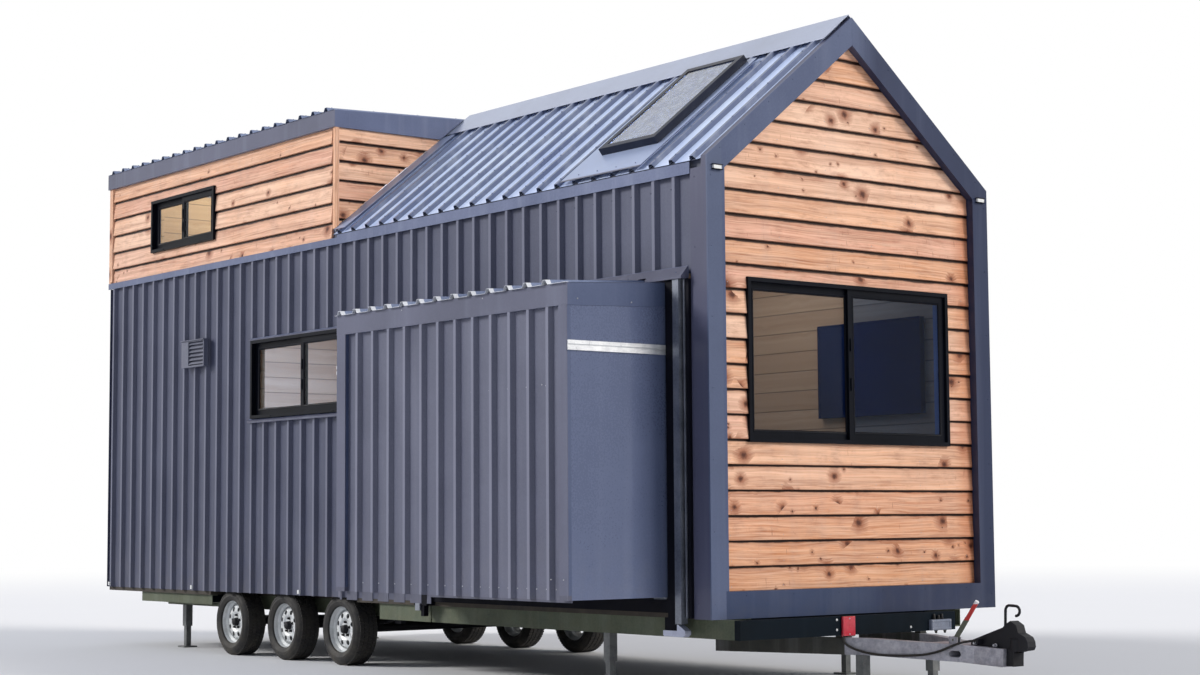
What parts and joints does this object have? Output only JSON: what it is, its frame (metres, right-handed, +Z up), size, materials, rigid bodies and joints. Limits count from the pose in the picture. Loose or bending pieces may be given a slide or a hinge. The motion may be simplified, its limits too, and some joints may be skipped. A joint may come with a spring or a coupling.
{
  "type": "tiny house trailer",
  "caption": "Ribbed-metal tiny house on a trailer, with a steep front gable in cedar, a raised loft box at the rear and a slide-out room on one long side.",
  "frame": {"origin": "on the ground, at the middle of the plan with the slide-out extended", "axes": "+X towards the drawbar, -Y towards the slide-out side, +Z up"},
  "size_m": [9.382, 3.3016, 4.2169],
  "materials": {
    "rail_steel": "grey-green paint, dusty",
    "drawbar_steel": "galvanised",
    "black_steel": "black paint",
    "leg_steel": "grey paint",
    "timber_panel": "plywood",
    "inner_panel": "painted panel",
    "wall_sheet": "charcoal satin ribbed sheet",
    "roof_sheet": "grey-blue satin ribbed sheet",
    "trim": "slate-blue satin folded sheet",
    "cedar": "oiled cedar with knots",
    "window_black": "black powder coat",
    "window_glass": "clear float glass",
    "vent_grey": "grey plastic",
    "seal_rubber": "black rubber",
    "column_aluminium": "mill finish",
    "lamp_clear": "clear lens",
    "lamp_red": "red lens",
    "box_grey": "grey plastic",
    "cable_black": "black sheath",
    "tyre": "black rubber on a silver steel rim",
    "lever_red": "red grip on a steel lever"
  },
  "bodies": {
    "house": {"chassis_rails": "rail_steel", "cross_members": "rail_steel", "drawbar": "drawbar_steel", "coupling": "black_steel", "running_gear": "black_steel", "stabiliser_legs": "leg_steel", "floor_deck": "timber_panel", "near_wall": "inner_panel", "far_wall": "inner_panel", "end_walls": "inner_panel", "wall_cladding": "wall_sheet", "gable_boards": "cedar", "loft_boards": "cedar", "gable_frame": "trim", "roof_panels": "inner_panel", "loft_roof": "roof_sheet", "roof_sheets": "roof_sheet", "ridge_cap": "roof_sheet", "flashings": "trim", "loft_fascia": "trim", "skylight_frame": "trim", "window_frames": "window_black", "entry_door": "window_black", "window_glass": "window_glass", "wall_vent": "vent_grey", "wall_screen": "window_black", "slide_seal": "seal_rubber", "slide_columns": "column_aluminium", "marker_lights": "lamp_clear", "red_lamp": "lamp_red", "junction_box": "box_grey", "brake_cable": "cable_black"},
    "slide_out": {"slide_walls": "trim", "slide_roof": "roof_sheet", "slide_cladding": "wall_sheet", "slide_trim": "trim", "slide_racks": "column_aluminium"},
    "lever": {"brake_lever": "lever_red"},
    "wheel_front_left_body": {"wheel_front_left": "tyre"},
    "wheel_middle_left_body": {"wheel_middle_left": "tyre"},
    "wheel_rear_left_body": {"wheel_rear_left": "tyre"},
    "wheel_front_right_body": {"wheel_front_right": "tyre"},
    "wheel_middle_right_body": {"wheel_middle_right": "tyre"},
    "wheel_rear_right_body": {"wheel_rear_right": "tyre"}
  },
  "joints": [
    {"name": "slide_out_travel", "type": "slide", "parent": "house", "child": "slide_out", "axis": [0, 1, 0], "range_m": [0, 0.72]},
    {"name": "brake_lever_swing", "type": "hinge", "parent": "house", "child": "lever", "pos_m": [4.1856, 0.2838, 0.3454], "axis": [0, 1, 0], "range_deg": [-30, 40]},
    {"name": "wheel_front_left_spin", "type": "hinge", "parent": "house", "child": "wheel_front_left_body", "pos_m": [-0.859, -0.7117, 0.2625], "axis": [0, 1, 0], "continuous": true},
    {"name": "wheel_middle_left_spin", "type": "hinge", "parent": "house", "child": "wheel_middle_left_body", "pos_m": [-1.684, -0.7117, 0.2625], "axis": [0, 1, 0], "continuous": true},
    {"name": "wheel_rear_left_spin", "type": "hinge", "parent": "house", "child": "wheel_rear_left_body", "pos_m": [-2.509, -0.7117, 0.2625], "axis": [0, 1, 0], "continuous": true},
    {"name": "wheel_front_right_spin", "type": "hinge", "parent": "house", "child": "wheel_front_right_body", "pos_m": [-0.859, 1.4433, 0.2625], "axis": [0, 1, 0], "continuous": true},
    {"name": "wheel_middle_right_spin", "type": "hinge", "parent": "house", "child": "wheel_middle_right_body", "pos_m": [-1.684, 1.4433, 0.2625], "axis": [0, 1, 0], "continuous": true},
    {"name": "wheel_rear_right_spin", "type": "hinge", "parent": "house", "child": "wheel_rear_right_body", "pos_m": [-2.509, 1.4433, 0.2625], "axis": [0, 1, 0], "continuous": true}
  ]
}
